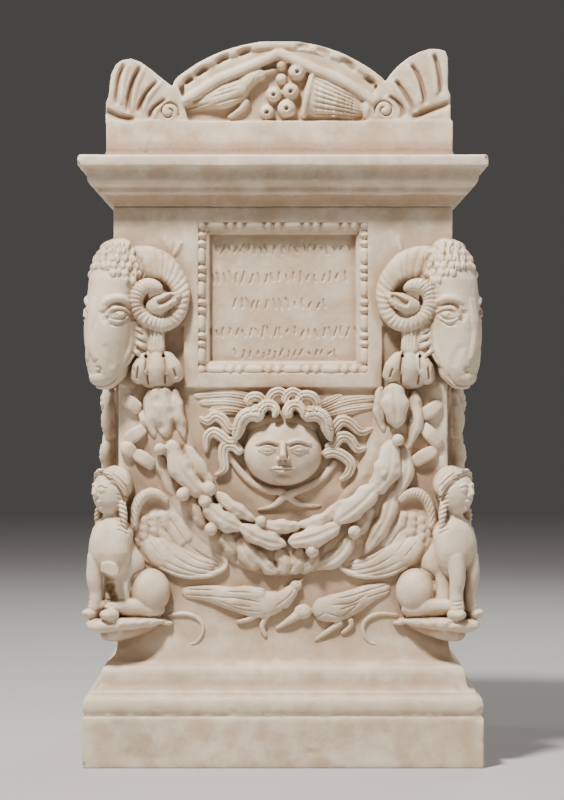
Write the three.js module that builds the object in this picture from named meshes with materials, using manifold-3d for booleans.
// A Roman marble ash chest: a hollow carved block with its loose lid, in millimetres, +Z up.
// The origin is on the ground under the middle of the chest, and the carved front looks along -Y.
import * as THREE from "three";
import { mergeVertices } from "three/addons/utils/BufferGeometryUtils.js";
import Module from "manifold-3d";

const wasm = await Module();
wasm.setup();
const { Manifold, Mesh } = wasm;

// The block, up to the planes that the reliefs stand on
const GROUND_X = 181; // half the width
const GROUND_Y = 144; // half the depth
const CHEST_TOP = 612;
const WALL_X = 58;
const WALL_Y = 56;
const CAVITY_DEPTH = 282;

// The foot mouldings, from the plinth up
const PLINTH_OUT = 37;
const PLINTH_HIGH = 56;
const PLINTH_WORN = 2; // the worn arrises of the plinth
const TORUS_HIGH = 21;
const TORUS_BULGE = 4;
const FILLET_OUT = 30;
const FILLET_HIGH = 5;
const OGEE_HIGH = 27;
const OGEE_RUN = 16;
const COVE_FOOT_HIGH = 3;
const COVE_HIGH = 35;
const COVE_OUT = 9;

// The uncarved upper zone, which stands in front of the ground, and the tablet in its middle
const UPPER_RAISE = 5;
const UPPER_HIGH = 199;
const TABLET_HALF = 109;
const POCKET_HIGH = 69; // beside the tablet the ground runs this far up, behind the rams' horns

// The inscribed panel and its frame of beads and reels
const PANEL_SIDE_IN = 13;
const PANEL_END_IN = 14;
const PANEL_SUNK = 13;
const FRAME_WIDE = 12;
const FRAME_SUNK = 4;
const BEAD_PITCH = 44;
const BEAD_THICK = 3.6;

// The corner figures
const RAM_DOWN = 32; // the rams' crowns are this far below the top of the chest
const HORN_IN = 50; // the horn curls round a point this far in from the corner
const HORN_DOWN = 73; // and this far below the crown
const HANGER_IN = 48; // the garlands hang this far in from the corners
const LEDGE_UP = 9; // the sphinxes' ledges are this far above the foot mouldings

// The garlands and the mask
const FRONT_GARLAND_DROP = 170;
const SIDE_GARLAND_DROP = 122;
const GARLAND_RAISE = 4; // their ends run this far up over the upper zone
const MASK_DOWN = 73; // the middle of the mask is this far below the upper zone
const MASK_WIDE = 41;
const MASK_TALL = 37;
const MASK_DEEP = 24;

// The lid
const LID_GAP = 0.3;
const LID_SHIFT = -4; // the upper part of the lid sits a little to the left
const CORNICE_OUT = 42;
const CORNICE_HIGH = 54;
const SLAB_HIGH = 13;
const ATTIC_OUT = 9;
const ATTIC_HIGH = 40;
const ATTIC_FLARE = 5;
const ARCH_RISE = 88; // the top of the arched pediment above the attic
const ARCH_HALF = 117;
const ARCH_FOOT = 42; // the arch ends this high above the attic
const HORN_HIGH = 80; // the tallest corner horn of the lid
const HORN_DEEP = 66;
const ROOF_SET_DOWN = 10; // the plain roof behind the carved front is this much lower
const FRONT_DEEP = 34;
const GABLE_SUNK = 10;
const BAND_WIDE = 9;

const CHEST_COLOUR = 0xd8cbb6;
const LID_COLOUR = 0xdcd0bc;

const UPPER_FOOT = CHEST_TOP - UPPER_HIGH;
const FOOT_TOP = PLINTH_HIGH + TORUS_HIGH + FILLET_HIGH + 1 + OGEE_HIGH + COVE_FOOT_HIGH + COVE_HIGH;
const ATTIC_TOP = CHEST_TOP + LID_GAP + CORNICE_HIGH + ATTIC_HIGH;
const LID_HALF = GROUND_X + ATTIC_OUT;

const radians = (degrees) => (degrees * Math.PI) / 180;
const mix = (a, b, share) => a + (b - a) * share;

// The value at a share of the way along a short list.
function along(values, share) {
  const place = share * (values.length - 1);
  const i = Math.min(Math.floor(place), values.length - 2);
  return mix(values[i], values[i + 1], place - i);
}

// A closed three.js geometry as a solid.
function solid(geometry) {
  const bare = geometry.clone();
  bare.deleteAttribute("normal");
  bare.deleteAttribute("uv");
  const merged = mergeVertices(bare, 1e-3);
  return new Manifold(
    new Mesh({
      numProp: 3,
      vertProperties: new Float32Array(merged.attributes.position.array),
      triVerts: new Uint32Array(merged.index.array),
    }),
  );
}

const union = (solids) => Manifold.union(solids);

// Stone fills the pockets that overlapping forms shut in between them.
function withoutPockets(made) {
  return union(made.decompose().filter((shell) => shell.volume() > 0));
}

// A box between two corners.
function block(low, high) {
  const size = high.map((value, i) => value - low[i]);
  const middle = high.map((value, i) => (value + low[i]) / 2);
  return solid(new THREE.BoxGeometry(...size)).translate(middle);
}

// A ball with three radii, turned about its own axes by degrees.
function ball(middle, radii, { turn = [0, 0, 0], sides = 8, rings = 5 } = {}) {
  return solid(new THREE.SphereGeometry(1, sides, rings)).scale(radii).rotate(turn).translate(middle);
}

// A closed skin over rings of points, with a point at each end.
function skin(rings, first, last) {
  const sides = rings[0].length;
  const points = [first, ...rings.flat(), last];
  const faces = [];
  for (let j = 0; j < sides; j++) {
    const next = (j + 1) % sides;
    faces.push(0, 1 + next, 1 + j);
    for (let i = 0; i < rings.length - 1; i++) {
      const a = 1 + i * sides;
      const b = a + sides;
      faces.push(a + j, a + next, b + next, a + j, b + next, b + j);
    }
    const end = 1 + (rings.length - 1) * sides;
    faces.push(points.length - 1, end + j, end + next);
  }
  const geometry = new THREE.BufferGeometry();
  geometry.setAttribute("position", new THREE.Float32BufferAttribute(points.flatMap((p) => [p.x, p.y, p.z]), 3));
  geometry.setIndex(faces);
  return solid(geometry);
}

// A round or flattened limb along a smooth path. Its width lies across the path, and its thickness points
// towards out, so a relief drawn in the plane is wide in the plane and thick out of it.
function limb(path, wide, thick, { out = [0, 0, 1], sides = 6, steps = 5 } = {}) {
  const curve = new THREE.CatmullRomCurve3(path.map((p) => new THREE.Vector3(...p)), false, "catmullrom", 0.5);
  const face = new THREE.Vector3(...out);
  const rings = [];
  for (let i = 0; i < steps; i++) {
    const share = (i + 0.35) / (steps - 0.3);
    const middle = curve.getPoint(share);
    const run = curve.getTangent(share);
    const up = face.clone().addScaledVector(run, -face.dot(run)).normalize();
    const across = up.clone().cross(run);
    const ring = [];
    for (let j = 0; j < sides; j++) {
      const angle = (2 * Math.PI * j) / sides;
      ring.push(
        middle.clone()
          .addScaledVector(across, along(wide, share) * Math.cos(angle))
          .addScaledVector(up, along(thick, share) * Math.sin(angle)),
      );
    }
    rings.push(ring);
  }
  return skin(rings, curve.getPoint(0), curve.getPoint(1));
}

// An outline in the drawing plane, drawn out from one depth to another.
function slab(outline, low, high) {
  const shape = new THREE.Shape(outline.map(([x, y]) => new THREE.Vector2(x, y)));
  const geometry = new THREE.ExtrudeGeometry(shape, { depth: high - low, bevelEnabled: false });
  return solid(geometry).translate([0, 0, low]);
}

// A quarter of an ellipse between two points of a moulding's profile. It leaves the first point level or upright.
function quarter(from, to, leaves, steps = 3) {
  const points = [];
  for (let i = 1; i <= steps; i++) {
    const angle = ((i / steps) * Math.PI) / 2;
    const slow = 1 - Math.cos(angle);
    const quick = Math.sin(angle);
    const [outShare, upShare] = leaves === "level" ? [quick, slow] : [slow, quick];
    points.push([mix(from[0], to[0], outShare), mix(from[1], to[1], upShare)]);
  }
  return points;
}

// A moulded block: rectangles round the axis, each one a step of the profile out from the ground planes.
function moulded(profile, shift = 0) {
  const rings = profile.map(([out, height]) => {
    const x = GROUND_X + out;
    const y = GROUND_Y + out;
    return [[-x, -y], [x, -y], [x, y], [-x, y]].map(([a, b]) => new THREE.Vector3(a + shift, b, height));
  });
  const [bottom, top] = [profile[0][1], profile[profile.length - 1][1]];
  return skin(rings, new THREE.Vector3(shift, 0, bottom), new THREE.Vector3(shift, 0, top));
}

// Stands a relief, drawn with x to the right, y up and z outwards, on a side of the block.
const onFront = (relief) => relief.rotate([90, 0, 0]).translate([0, -GROUND_Y, 0]);
const onLeft = (relief) => relief.rotate([90, 0, 0]).rotate([0, 0, -90]).translate([-GROUND_X, 0, 0]);
const mirrored = (relief) => relief.mirror([1, 0, 0]);

// The foot mouldings and the plain block above them.
function footProfile() {
  const torusTop = PLINTH_HIGH + TORUS_HIGH;
  const torusFoot = [PLINTH_OUT - TORUS_BULGE, PLINTH_HIGH + 1];
  const torusMiddle = [PLINTH_OUT, PLINTH_HIGH + TORUS_HIGH / 2];
  const ogeeFoot = [FILLET_OUT - 3, torusTop + FILLET_HIGH + 1];
  const ogeeMiddle = [ogeeFoot[0] - OGEE_RUN / 2, ogeeFoot[1] + OGEE_HIGH / 2];
  const ogeeTop = [ogeeFoot[0] - OGEE_RUN, ogeeFoot[1] + OGEE_HIGH];
  const coveFoot = [COVE_OUT, ogeeTop[1] + COVE_FOOT_HIGH];
  return [
    [PLINTH_OUT - PLINTH_WORN, 0],
    [PLINTH_OUT, PLINTH_WORN],
    [PLINTH_OUT, PLINTH_HIGH - PLINTH_WORN],
    [PLINTH_OUT - PLINTH_WORN, PLINTH_HIGH],
    torusFoot,
    ...quarter(torusFoot, torusMiddle, "level", 2),
    ...quarter(torusMiddle, [PLINTH_OUT - TORUS_BULGE, torusTop], "upright", 2),
    [FILLET_OUT, torusTop + 1],
    [FILLET_OUT, torusTop + FILLET_HIGH],
    ogeeFoot,
    ...quarter(ogeeFoot, ogeeMiddle, "level"),
    ...quarter(ogeeMiddle, ogeeTop, "upright"),
    [ogeeTop[0], coveFoot[1] - 1],
    coveFoot,
    ...quarter(coveFoot, [0, FOOT_TOP], "level", 4),
  ];
}

function chestBlock() {
  const [x, y] = [GROUND_X + UPPER_RAISE, GROUND_Y + UPPER_RAISE];
  const pocketTop = UPPER_FOOT + POCKET_HIGH;
  const upper = block([-x, -y, UPPER_FOOT], [x, GROUND_Y, CHEST_TOP]);
  const frontPocket = block([TABLET_HALF, -y - 1, UPPER_FOOT - 1], [x + 1, -GROUND_Y, pocketTop]);
  const sidePocket = block([GROUND_X, -y - 1, UPPER_FOOT - 1], [x + 1, GROUND_Y + 1, pocketTop]);
  const pockets = union([frontPocket, sidePocket]);
  return union([
    moulded([...footProfile(), [0, CHEST_TOP]]),
    upper.subtract(union([pockets, mirrored(pockets)])),
  ]);
}

function cavity() {
  const [x, y] = [GROUND_X - WALL_X, GROUND_Y - WALL_Y];
  return block([-x, -y, CHEST_TOP - CAVITY_DEPTH], [x, y, CHEST_TOP + 1]);
}

const PANEL_HALF = TABLET_HALF - PANEL_SIDE_IN;
const PANEL_LOW = UPPER_FOOT + PANEL_END_IN;
const PANEL_HIGH = CHEST_TOP - PANEL_END_IN;

// The sunk panel, with a shallower rebate round it for the frame.
function panelSinking() {
  const [x, low, high] = [PANEL_HALF - FRAME_WIDE, PANEL_LOW + FRAME_WIDE, PANEL_HIGH - FRAME_WIDE];
  return union([
    block([-PANEL_HALF, PANEL_LOW, UPPER_RAISE - FRAME_SUNK], [PANEL_HALF, PANEL_HIGH, UPPER_RAISE + 1]),
    block([-x, low, UPPER_RAISE - PANEL_SUNK], [x, high, UPPER_RAISE]),
  ]);
}

// One long bead and two short ones, running to the right from the origin.
function beadGroup(pitch) {
  const half = FRAME_WIDE / 2 - 0.6;
  const long = limb([[0.4, 0, 0], [pitch * 0.26, 0, 0], [pitch * 0.52, 0, 0]], [half, half],
    [BEAD_THICK, BEAD_THICK], { sides: 4, steps: 2 });
  const short = (middle) => ball([middle, 0, 0], [pitch * 0.13, half, BEAD_THICK + 1], { sides: 4, rings: 2 });
  return union([long, short(pitch * 0.65), short(pitch * 0.88)]);
}

function beadedFrame() {
  const rail = (length) => {
    const groups = Math.max(1, Math.round(length / BEAD_PITCH));
    const pitch = length / groups;
    return union(Array.from({ length: groups }, (_, i) => beadGroup(pitch).translate([i * pitch, 0, 0])));
  };
  const across = rail(2 * (PANEL_HALF - FRAME_WIDE));
  const upright = rail(PANEL_HIGH - PANEL_LOW - 2 * FRAME_WIDE).rotate([0, 0, 90]);
  const inset = FRAME_WIDE / 2;
  const start = FRAME_WIDE - PANEL_HALF;
  return union([
    across.translate([start, PANEL_HIGH - inset, 0]),
    across.translate([start, PANEL_LOW + inset, 0]),
    upright.translate([inset - PANEL_HALF, PANEL_LOW + FRAME_WIDE, 0]),
    upright.translate([PANEL_HALF - inset, PANEL_LOW + FRAME_WIDE, 0]),
  ]).translate([0, 0, UPPER_RAISE - FRAME_SUNK]);
}

// The corner figures are drawn from the corner of the block, with x inwards along the front and z outwards.
// Each is the same about the diagonal of the corner, so its second half is the first one mirrored.
const DIAGONAL = [-Math.SQRT1_2, 0, Math.SQRT1_2];
const onDiagonal = (reach, height) => [-reach * Math.SQRT1_2, height, reach * Math.SQRT1_2];
const bothFaces = (half) => union([half, half.mirror([1, 0, 1])]);

// A ram's heights are counted from its crown.
function ramSkull() {
  const heights = [0, -10, -28, -50, -75, -100, -125, -142, -156, -166];
  const reaches = [-4, 0, 4, 2, 6, 10, 14, 15, 13, 9];
  const deep = [14, 28, 33, 31, 30, 30, 26, 24, 20, 10];
  const wide = [20, 36, 40, 34, 31, 29, 25, 21, 17, 8];
  return limb(heights.map((height, i) => onDiagonal(reaches[i], height)), wide, deep,
    { out: DIAGONAL, sides: 8, steps: 7 });
}

// The horn springs from the crown, sweeps over the face of the block and curls forward round the ear.
function ramHorn() {
  const turns = 11;
  const path = Array.from({ length: turns }, (_, i) => {
    const share = i / (turns - 1);
    const angle = radians(118 - 390 * share);
    const radius = 14 + 27 * (1 - share) ** 1.6;
    const lift = 3 + 19 * Math.sin((share * Math.PI) / 2);
    return [HORN_IN + radius * Math.cos(angle), radius * Math.sin(angle) - HORN_DOWN, lift];
  });
  return limb(path, [20, 18, 14, 12, 11, 10, 8, 3], [13, 13, 12, 12, 11, 9, 8, 4], { sides: 4, steps: 8 });
}

function ramEar() {
  return limb([[36, -90, 12], [52, -82, 24], [84, -60, 20]], [6, 9, 7, 2], [7, 8, 6, 3], { sides: 4, steps: 2 });
}

// The strap below the horn, which widens into the calyx that the garland hangs from.
function garlandHanger() {
  return limb([[44, -96, 6], [HANGER_IN - 5, -118, 8], [HANGER_IN - 5, -135, 8], [HANGER_IN - 2, -162, 6]],
    [9, 8, 10, 25], [9, 8, 9, 9], { sides: 4, steps: 3 });
}

// A fluttering ribbon end: short flat folds that run to and fro beside the garland.
function ribbonFolds() {
  const folds = [[31, -168, 12, -187], [12, -202, 36, -214], [36, -224, 22, -239]];
  return union(folds.map(([x0, y0, x1, y1]) =>
    limb([[x0, y0, 1], [(x0 + x1) / 2, (y0 + y1) / 2 - 3, 4], [x1, y1, 1]], [6, 7, 6], [4, 6, 4],
      { sides: 4, steps: 2 })));
}

function ramHead() {
  const eye = ball([9, -85, 30], [8, 6, 5], { sides: 4, rings: 2 });
  return union([ramSkull(), bothFaces(union([ramHorn(), ramEar(), garlandHanger(), eye])), ribbonFolds()]);
}

// At the back corners only the half that faces the side is carved, and it is plainer.
function rearRam() {
  return union([ramSkull(), union([ramHorn(), ramEar(), garlandHanger()]).mirror([1, 0, 1])]);
}

// A sphinx's heights are counted from its ledge.
// The wing lies on the face of the block: an arched shoulder and a fan of long feathers.
function sphinxWing() {
  const shoulder = limb([[8, 102, 6], [24, 134, 7], [42, 144, 6], [64, 130, 4]], [11, 12, 11, 7], [10, 10, 9, 6],
    { sides: 4, steps: 3 });
  const feathers = [0, 0.5, 1].map((share) => {
    const root = [mix(42, 60, share), mix(86, 128, share), 1];
    const tip = [mix(94, 122, Math.sin((share * Math.PI) / 2)), mix(48, 88, share), 0];
    const middle = [(root[0] + tip[0]) / 2, (root[1] + tip[1]) / 2 - 6, 1];
    return limb([root, middle, tip], [10, 12, 8], [6, 8, 6], { sides: 4, steps: 2 });
  });
  return union([shoulder, ...feathers]);
}

function sphinxHead() {
  const face = ball(onDiagonal(12, 141), [20, 26, 21], { turn: [0, -45, 0], sides: 8, rings: 5 });
  const braid = [[14, 94, 17], [18, 126, 15], [14, 150, 15]];
  const otherBraid = braid.map(([x, y, z]) => [-z, y, -x]).reverse();
  const hair = limb([...braid, onDiagonal(8, 170), ...otherBraid], [4, 8, 10, 12, 10, 8, 4],
    [4, 8, 12, 20, 12, 8, 4], { out: DIAGONAL, sides: 4, steps: 7 });
  const nose = ball(onDiagonal(33, 138), [3.5, 6, 5], { turn: [0, -45, 0], sides: 4, rings: 2 });
  return union([face, hair, nose]);
}

function sphinxBody() {
  const chest = limb([onDiagonal(6, 128), onDiagonal(8, 106), onDiagonal(11, 80), onDiagonal(4, 52)],
    [14, 22, 30, 18], [12, 19, 24, 14], { out: DIAGONAL, sides: 6, steps: 3 });
  const flank = limb([[-2, 80, 10], [20, 59, 10], [46, 34, 6], [58, 22, 2]], [20, 18, 22, 10], [14, 14, 16, 8],
    { sides: 4, steps: 3 });
  const hindLeg = limb([[58, 30, 4], [46, 10, 9], [12, 10, 17]], [9, 8, 6], [8, 8, 6], { sides: 4, steps: 2 });
  return union([chest, bothFaces(union([flank, hindLeg]))]);
}

function sphinxTail() {
  return limb([[56, 4, 1], [82, 8, 1], [97, -4, 1], [93, -18, 1], [82, -25, 0]], [4, 4, 4, 3],
    [4, 4, 4, 3], { sides: 3, steps: 4 });
}

// The foreleg stands a little to one side of the diagonal. A broken one leaves its stump and its paw.
function sphinxForeleg(broken) {
  const paw = ball([-8, 11, 27], [9, 6, 11], { turn: [0, -45, 0], sides: 4, rings: 2 });
  if (broken) {
    const stump = ball([-3, 60, 24], [10, 8, 10], { turn: [0, 0, -15], sides: 5, rings: 3 });
    return union([paw, stump]);
  }
  const leg = limb([[-6, 80, 22], [-9, 52, 25], [-8, 32, 23], [-9, 10, 25]], [11, 9, 7, 8], [11, 9, 8, 9],
    { out: DIAGONAL, sides: 4, steps: 3 });
  return union([paw, leg]);
}

function sphinxLedge() {
  const run = [[60, 0, 0], [34, -1, 10], [6, 0, 22]];
  const back = run.map(([x, y, z]) => [-z, y, -x]).reverse();
  const top = limb([...run, onDiagonal(34, 1), ...back], [3, 7, 9, 9, 9, 7, 3], [6, 12, 16, 17, 16, 12, 6],
    { out: DIAGONAL, sides: 4, steps: 6 });
  const under = limb([onDiagonal(8, 0), onDiagonal(0, -24)], [22, 6], [16, 6],
    { out: DIAGONAL, sides: 4, steps: 2 });
  return union([top, under]);
}

function sphinx(frontLegBroken) {
  return union([
    sphinxHead(),
    sphinxBody(),
    sphinxTail(),
    sphinxForeleg(frontLegBroken),
    sphinxForeleg(false).mirror([1, 0, 1]),
    sphinxLedge(),
    bothFaces(sphinxWing()),
  ]);
}

// The lanes of leaves in a garland: [distance outwards from its middle line, half width, height, start].
const FRONT_LANES = [[0, 13, 20, 0], [20, 11, 14, 0.3], [-20, 11, 14, 0.2]];
const SIDE_LANES = [[10, 13, 18, 0], [-10, 12, 15, 0.4]];

// Half of a hanging garland, on a quarter of an ellipse: long leaves in lanes, with round fruit between them.
function halfGarland(half, drop, lanes, leaves) {
  const spot = (share, lane) => {
    const angle = (share * Math.PI) / 2;
    const [x, y] = [-half * Math.cos(angle), -drop * Math.sin(angle)];
    const outwards = Math.atan2(y * half * half, x * drop * drop);
    return [x - lane * Math.cos(outwards), UPPER_FOOT + GARLAND_RAISE + y - lane * Math.sin(outwards)];
  };
  const leaf = (share, [lane, wide, high, start]) => {
    const points = [start, start + 0.54, start + 1.08].map((part) => [...spot(share + part / leaves, lane), 0]);
    return limb(points, [wide * 0.7, wide, wide * 0.5], [high * 0.8, high, high * 0.6], { sides: 4, steps: 2 });
  };
  return union(Array.from({ length: leaves }, (_, i) => {
    const fruit = ball([...spot((i + 0.95) / leaves, i % 2 ? 11 : -12), 5], [8, 8, 13], { sides: 5, rings: 2 });
    return union([...lanes.map((lane) => leaf(i / leaves, lane)), fruit]);
  }));
}

function garland(half, drop, lanes, leaves) {
  const strand = halfGarland(half, drop, lanes, leaves);
  return union([strand, mirrored(strand)]);
}

// The winged mask between the garland and the tablet, drawn from the middle of its face.
function maskFace() {
  const head = ball([0, 0, 0], [MASK_WIDE, MASK_TALL, MASK_DEEP], { sides: 8, rings: 5 });
  const nose = limb([[0, 12, MASK_DEEP - 4], [0, 0, MASK_DEEP - 1], [0, -6, MASK_DEEP]], [3, 4, 6.5], [3, 4, 4.5],
    { sides: 4, steps: 2 });
  const lips = ball([0, -17, MASK_DEEP - 6], [12, 3.5, 4], { sides: 5, rings: 2 });
  const eye = ball([16, 8, MASK_DEEP - 7], [7, 4, 4], { sides: 5, rings: 2 });
  return union([head, nose, lips, eye, mirrored(eye)]);
}

// A wavy lock that leaves the mask's rim at an angle and runs outwards with a swing to one side.
function maskLock(degrees, reach, swing, wide) {
  const run = [Math.cos(radians(degrees)), Math.sin(radians(degrees))];
  const start = [MASK_WIDE * 0.86 * run[0], MASK_TALL * 0.86 * run[1]];
  const path = [0, 0.3, 0.6, 0.85, 1].map((share) => {
    const bend = swing * Math.sin(share * Math.PI * 1.45);
    return [
      start[0] + run[0] * reach * share - run[1] * bend,
      start[1] + run[1] * reach * share + run[0] * bend,
      mix(12, 3, share),
    ];
  });
  return limb(path, [wide, wide, wide * 0.9, wide * 0.6, 2], [wide * 0.9, wide, wide * 0.8, 4, 2],
    { sides: 4, steps: 4 });
}

function maskHair() {
  const forelock = limb([[2, 34, 14], [12, 50, 10], [30, 32, 9], [43, 4, 4]], [10, 14, 11, 6], [10, 12, 10, 8],
    { sides: 4, steps: 4 });
  return union([maskLock(28, 52, 9, 8), maskLock(2, 44, 10, 8), forelock]);
}

function maskWing() {
  return limb([[30, 34, 4], [52, 50, 6], [74, 57, 5], [104, 54, 1]], [8, 12, 11, 5], [7, 9, 8, 4],
    { sides: 4, steps: 4 });
}

// A snake runs round the chin, crosses its fellow below it and ends beyond.
function maskSnake() {
  return limb([[48, -4, 4], [36, -30, 5], [3, -46, 8], [-24, -62, 2]], [4, 5, 5, 2], [5, 6, 6, 3],
    { sides: 4, steps: 5 });
}

function mask() {
  const half = union([maskHair(), maskWing(), maskSnake()]);
  return union([maskFace(), half, mirrored(half)]).translate([0, UPPER_FOOT - MASK_DOWN, 0]);
}

// A bird that faces right, counted from the top of the foot mouldings: its body, tail, neck, head and leg.
function bird(body, tail, head, beak, foot) {
  const [x, y] = body;
  const tilt = (Math.atan2(y - tail[1], x - tail[0]) * 180) / Math.PI;
  return union([
    ball([x, y, 2], [27, 12, 10], { turn: [0, 0, tilt], sides: 6, rings: 3 }),
    limb([[x, y, 5], [mix(x, tail[0], 0.6), mix(y, tail[1], 0.6) + 3, 5], [...tail, 1]], [12, 9, 7, 4],
      [8, 6, 4, 2], { sides: 4, steps: 2 }),
    limb([[x, y, 4], [mix(x, head[0], 0.7), mix(y, head[1], 0.6), 6], [...head, 6], [...beak, 1]],
      [12, 9, 6, 1.5], [8, 8, 6, 2], { sides: 4, steps: 3 }),
    limb([[x + 2, y - 6, 2], [mix(x, foot[0], 0.5), foot[1] + 8, 4], [...foot, 1]], [6, 4, 3],
      [6, 4, 2], { sides: 3, steps: 2 }),
  ]);
}

function birdPair() {
  const rising = bird([-31, 32], [-110, 43], [10, 46], [20, 57], [-47, 5]);
  const stooping = bird([-52, 25], [-120, 46], [-6, 20], [10, 4], [-76, 2]);
  return union([rising, mirrored(stooping)]).translate([0, FOOT_TOP + 1, 0]);
}

function makeChest() {
  const frontGarland = garland(GROUND_X - HANGER_IN, FRONT_GARLAND_DROP, FRONT_LANES, 4);
  const sideGarland = onLeft(garland(GROUND_Y - HANGER_IN, SIDE_GARLAND_DROP, SIDE_LANES, 3));
  const atCorner = (figure, height) => onFront(figure.translate([-GROUND_X, height, 0]));
  const ram = atCorner(ramHead(), CHEST_TOP - RAM_DOWN);
  const behind = block([-2 * GROUND_X, GROUND_Y, 0], [2 * GROUND_X, 2 * GROUND_Y, CHEST_TOP]);
  const rear = atCorner(rearRam(), CHEST_TOP - RAM_DOWN).mirror([0, 1, 0]).subtract(behind);
  const ledge = FOOT_TOP + LEDGE_UP;
  const carved = union([
    chestBlock().subtract(onFront(panelSinking())),
    onFront(union([beadedFrame(), frontGarland, mask(), birdPair()])),
    union([ram, atCorner(sphinx(true), ledge)]),
    mirrored(union([ram, atCorner(sphinx(false), ledge)])),
    rear,
    mirrored(rear),
    sideGarland,
    mirrored(sideGarland),
  ]);
  return carved.subtract(cavity());
}

// The lid's cornice and attic.
function lidBlock() {
  const foot = CHEST_TOP + LID_GAP;
  const slabTop = foot + CORNICE_HIGH;
  const slabFoot = slabTop - SLAB_HIGH;
  const coveTop = [CORNICE_OUT - 22, mix(foot, slabFoot, 0.32)];
  const stepTop = mix(foot, slabFoot, 0.49);
  const cymaMiddle = [CORNICE_OUT - 10, mix(foot, slabFoot, 0.73)];
  const cornice = moulded([
    [UPPER_RAISE, foot],
    ...quarter([UPPER_RAISE, foot], coveTop, "upright", 3),
    [coveTop[0] + 1.5, coveTop[1] + 0.5],
    [coveTop[0] + 1.5, stepTop],
    ...quarter([coveTop[0] + 4, stepTop], cymaMiddle, "level", 2),
    ...quarter(cymaMiddle, [CORNICE_OUT - 4, slabFoot], "upright", 2),
    [CORNICE_OUT, slabFoot + 0.5],
    [CORNICE_OUT, slabTop - 2],
    [CORNICE_OUT - 2, slabTop],
  ]);
  const flare = [ATTIC_OUT + ATTIC_FLARE, slabTop];
  const attic = moulded([
    [flare[0], slabTop - 4],
    flare,
    ...quarter(flare, [ATTIC_OUT, slabTop + 9], "level", 2),
    [ATTIC_OUT, ATTIC_TOP],
  ], LID_SHIFT);
  return union([cornice, attic]);
}

// The pediment and horns are drawn from the middle of the attic's top edge.
const ARCH_SAGITTA = ARCH_RISE - ARCH_FOOT;
const ARCH_RADIUS = (ARCH_HALF ** 2 + ARCH_SAGITTA ** 2) / (2 * ARCH_SAGITTA);
const archHeight = (x) => ARCH_RISE - ARCH_RADIUS + Math.sqrt(ARCH_RADIUS ** 2 - x ** 2);

function archOutline(steps) {
  return Array.from({ length: steps + 1 }, (_, i) => {
    const x = mix(ARCH_HALF, -ARCH_HALF, i / steps);
    return [x, archHeight(x)];
  });
}

// The outlines of the horns beyond the arch, as shares of the room beside it and of the tallest horn.
// The outer corners of the two front horns are broken, each in its own way.
const LEFT_HORN = [[0.18, 0.66], [0.44, 0.81], [0.63, 0.86], [0.84, 0.79], [0.95, 0.71], [0.96, 0.41], [1, 0.35]];
const RIGHT_HORN = [[0.2, 0.75], [0.44, 0.91], [0.67, 1], [0.75, 0.97], [0.9, 0.97], [0.93, 0.45], [1, 0.38]];
const REAR_HORN = [[0.2, 0.73], [0.45, 0.86], [0.67, 0.91], [0.9, 0.88], [1, 0.75]];

function horn(shares, back, front) {
  const outline = shares.map(([x, y]) => [mix(ARCH_HALF, LID_HALF, x), HORN_HIGH * y]);
  return slab([[ARCH_HALF - 2, 0], [ARCH_HALF - 2, ARCH_FOOT], ...outline, [LID_HALF, 0]].reverse(), back, front);
}

// The sunk field of the gable, between the raking bands.
const GABLE_HALF = ARCH_HALF - 13;
const GABLE_HIGH = ARCH_RISE - 18;
const GABLE_EAVE = ARCH_FOOT - 16;

function gableField() {
  const shoulder = GABLE_HALF - 3;
  return [[-GABLE_HALF, 2], [GABLE_HALF, 2], [shoulder, GABLE_EAVE], [4, GABLE_HIGH], [-4, GABLE_HIGH],
    [-shoulder, GABLE_EAVE]];
}

// The hollow between a raking band and the arch.
function spandrel() {
  const slope = (GABLE_HIGH - GABLE_EAVE) / (GABLE_HALF - 7);
  const bandTop = (x) => GABLE_HIGH + BAND_WIDE + 1 - slope * (x - 4);
  const lower = [12, GABLE_HALF - 12].map((x) => [x, bandTop(x)]);
  const upper = [0.81, 0.56, 0.33, 0.13].map((share) => [GABLE_HALF * share, archHeight(GABLE_HALF * share) - 4]);
  return [...lower, ...upper];
}

// The palmette leaves leave the volute and bend up and outwards over the horn.
function palmette(highest) {
  return union(Array.from({ length: 4 }, (_, i) => {
    const share = i / 3;
    const rise = mix(ARCH_FOOT + 4, highest, Math.sin((share * Math.PI) / 2)) - 9 * share ** 3;
    const root = [mix(ARCH_HALF - 1, ARCH_HALF + 25, share), 5, -3];
    const bend = [mix(ARCH_HALF + 1, ARCH_HALF + 33, share), mix(26, 34, share), -1];
    const tip = [mix(ARCH_HALF + 11, LID_HALF - 8, share), rise, -2];
    return limb([root, bend, tip], [4, 7, 5], [4, 6, 4], { sides: 4, steps: 2 });
  }));
}

function volute(radius) {
  const turns = 9;
  const path = Array.from({ length: turns }, (_, i) => {
    const share = i / (turns - 1);
    const angle = radians(150 - 480 * share);
    const reach = radius * (1 - 0.85 * share);
    return [GABLE_HALF - 6 + reach * Math.cos(angle), 11 + reach * Math.sin(angle), -2 + share * 2];
  });
  return limb(path, [3, 3, 3], [5, 4, 4], { sides: 3, steps: 8 });
}

function gableBird() {
  return union([
    ball([-42, 27, -7], [24, 9, 9], { turn: [0, 0, 14], sides: 6, rings: 4 }),
    limb([[-44, 26, -5], [-72, 17, -6], [-98, 14, -9]], [10, 6, 4], [7, 4, 2], { sides: 4, steps: 2 }),
    limb([[-36, 30, -5], [-18, 42, -4], [-6, 53, -5]], [10, 7, 5], [8, 7, 5], { sides: 5, steps: 3 }),
    limb([[-34, 20, -7], [-30, 10, -6], [-46, 2, -8]], [5, 3, 3], [5, 4, 3], { sides: 4, steps: 2 }),
  ]);
}

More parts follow.
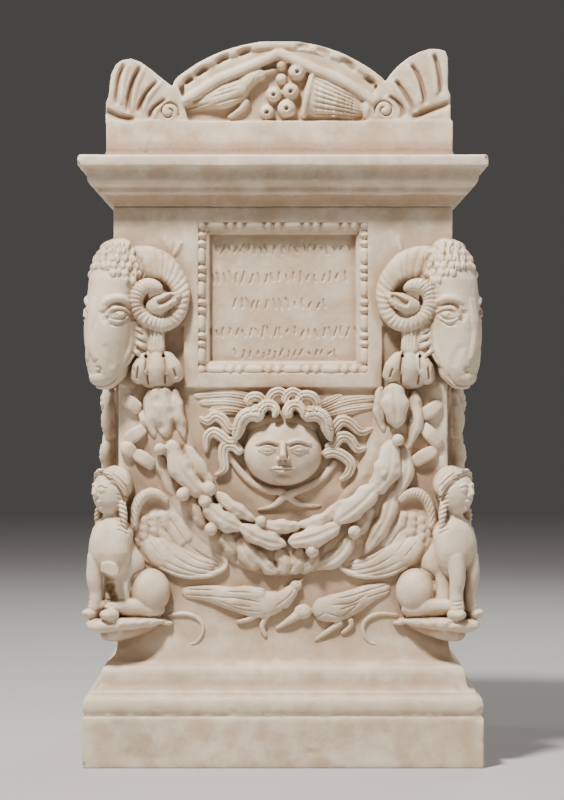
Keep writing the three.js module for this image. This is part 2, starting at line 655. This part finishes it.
function fruitPile() {
  const fruit = [[14, 46, 8.5], [-2, 38, 5], [-8, 23, 7], [10, 26, 8], [-15, 8, 6.5], [4, 9, 9]];
  return union(fruit.map(([x, y, radius]) =>
    ball([x, y, -6], [radius, radius, radius + 2], { sides: 6, rings: 3 })));
}

// A basket that lies on its side, with its mouth towards the fruit.
function basket() {
  const wicker = limb([[26, 21, -7], [55, 17, -7], [82, 10, -8]], [21, 16, 9], [12, 10, 7], { sides: 7, steps: 3 });
  const rim = limb([[23, 44, -6], [22, 22, 0], [22, 1, -6]], [3.5, 3.5, 3.5], [5, 7, 5], { sides: 4, steps: 3 });
  const foot = limb([[86, 18, -7], [86, 10, -4], [86, 1, -7]], [3, 3, 3], [4, 5, 4], { sides: 4, steps: 2 });
  return union([wicker, rim, foot]);
}

function pediment() {
  const gable = slab([[-ARCH_HALF, 0], [ARCH_HALF, 0], ...archOutline(12)], -FRONT_DEEP, 0);
  const field = slab(gableField(), -GABLE_SUNK, 1);
  const hollow = slab(spandrel(), -3, 1);
  const ground = union([gable, mirrored(horn(LEFT_HORN, -HORN_DEEP, 0)), horn(RIGHT_HORN, -HORN_DEEP, 0)]);
  return union([
    ground.subtract(union([field, hollow, mirrored(hollow)])),
    palmette(HORN_HIGH - 6),
    mirrored(palmette(HORN_HIGH - 18)),
    volute(13),
    mirrored(volute(10)),
    gableBird(),
    fruitPile(),
    basket(),
  ]);
}

function makeLid() {
  const face = GROUND_Y + ATTIC_OUT - 1;
  const roofLine = archOutline(10).map(([x, y]) => [x * 0.98, y - ROOF_SET_DOWN]);
  const roof = slab([[-ARCH_HALF, 0], [ARCH_HALF, 0], ...roofLine], -2 * face, 2 - FRONT_DEEP);
  const rearHorn = horn(REAR_HORN, -2 * face, HORN_DEEP - 2 * face);
  const upper = union([pediment(), roof, rearHorn, mirrored(rearHorn)]);
  return union([lidBlock(), upper.rotate([90, 0, 0]).translate([LID_SHIFT, -face, ATTIC_TOP - 1])]);
}

// A finished solid as a named mesh.
function piece(name, made, colour) {
  const { vertProperties, triVerts, numProp } = made.getMesh();
  const points = new Float32Array((vertProperties.length / numProp) * 3);
  for (let i = 0; i < points.length / 3; i++) {
    points.set(vertProperties.subarray(i * numProp, i * numProp + 3), i * 3);
  }
  const geometry = new THREE.BufferGeometry();
  geometry.setAttribute("position", new THREE.BufferAttribute(points, 3));
  geometry.setIndex(new THREE.BufferAttribute(new Uint32Array(triVerts), 1));
  geometry.computeVertexNormals();
  const marble = new THREE.MeshStandardMaterial({ color: colour, roughness: 0.55, metalness: 0 });
  const mesh = new THREE.Mesh(geometry, marble);
  mesh.name = name;
  return mesh;
}

const ashChest = new THREE.Group();
ashChest.add(piece("chest", withoutPockets(makeChest()), CHEST_COLOUR));
ashChest.add(piece("lid", withoutPockets(makeLid()), LID_COLOUR));

export default ashChest;
